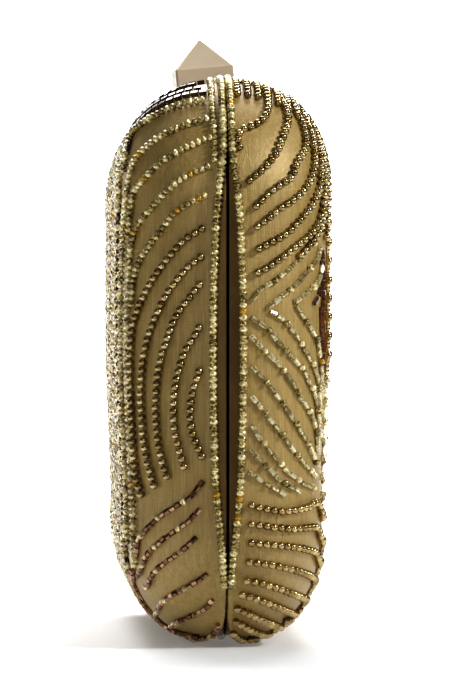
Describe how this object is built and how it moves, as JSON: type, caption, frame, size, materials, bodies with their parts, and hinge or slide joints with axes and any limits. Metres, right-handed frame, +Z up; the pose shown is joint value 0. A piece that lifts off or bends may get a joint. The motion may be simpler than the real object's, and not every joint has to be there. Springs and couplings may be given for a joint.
{
  "type": "evening bag",
  "caption": "Hard-shell evening clutch: two domed halves in beaded silk, metal frames, foot hinges and a sprung rocker clasp with a pyramid stud on top.",
  "frame": {"origin": "centre of the foot, on the plane of the seam between the two halves, at the level that the bag stands on", "axes": "+X along the bag's length, +Y from the front half (with the clasp stud) to the back half, +Z up"},
  "size_m": [0.2, 0.051, 0.1418],
  "materials": {
    "beaded_silk": "bronze-gold dupion silk worked with rows of metal and glass beads",
    "shell": "moulded shell under the silk",
    "lining": "champagne satin",
    "pocket_binding": "grosgrain binding",
    "frame": "antiqued bronze",
    "seed_beads": "silver-lined champagne glass seed beads on a thread",
    "clasp_metal": "brushed champagne plate",
    "fittings": "plain brass",
    "spring_steel": "bright spring steel"
  },
  "bodies": {
    "back": {"beaded_cover_back": "beaded_silk", "shell_back": "shell", "lining_back": "lining", "frame_back": "frame", "bead_trim_back": "seed_beads", "hinge_leaf_back_left": "fittings", "hinge_pin_left": "spring_steel", "hinge_rivet_back_left_1": "fittings", "hinge_rivet_back_left_2": "fittings", "hinge_leaf_back_right": "fittings", "hinge_pin_right": "spring_steel", "hinge_rivet_back_right_1": "fittings", "hinge_rivet_back_right_2": "fittings", "catch_spring": "spring_steel", "catch_rivet_1": "fittings", "catch_rivet_2": "fittings", "lining_pocket": "lining", "pocket_binding": "pocket_binding"},
    "front": {"beaded_cover_front": "beaded_silk", "shell_front": "shell", "lining_front": "lining", "frame_front": "frame", "bead_trim_front_right": "seed_beads", "bead_trim_front_left": "seed_beads", "hinge_leaf_front_left": "fittings", "hinge_rivet_front_left_1": "fittings", "hinge_rivet_front_left_2": "fittings", "hinge_leaf_front_right": "fittings", "hinge_rivet_front_right_1": "fittings", "hinge_rivet_front_right_2": "fittings", "clasp_pin": "spring_steel", "clasp_bracket": "fittings", "clasp_plate": "fittings", "clasp_rivet_1": "fittings", "clasp_rivet_2": "fittings"},
    "clasp": {"clasp_stud": "clasp_metal", "clasp_lever": "fittings", "clasp_spring": "spring_steel"}
  },
  "joints": [
    {"name": "opening_hinge", "type": "hinge", "parent": "back", "child": "front", "pos_m": [0, 0, 0.0013], "axis": [1, 0, 0], "range_deg": [0, 80], "deforming": ["catch_spring"]},
    {"name": "clasp_rocker", "type": "hinge", "parent": "front", "child": "clasp", "pos_m": [0, -0.0055, 0.1195], "axis": [1, 0, 0], "range_deg": [0, 10], "stiffness_Nm_per_rad": 0.3, "springref_deg": -5.73, "deforming": ["clasp_spring"]}
  ]
}
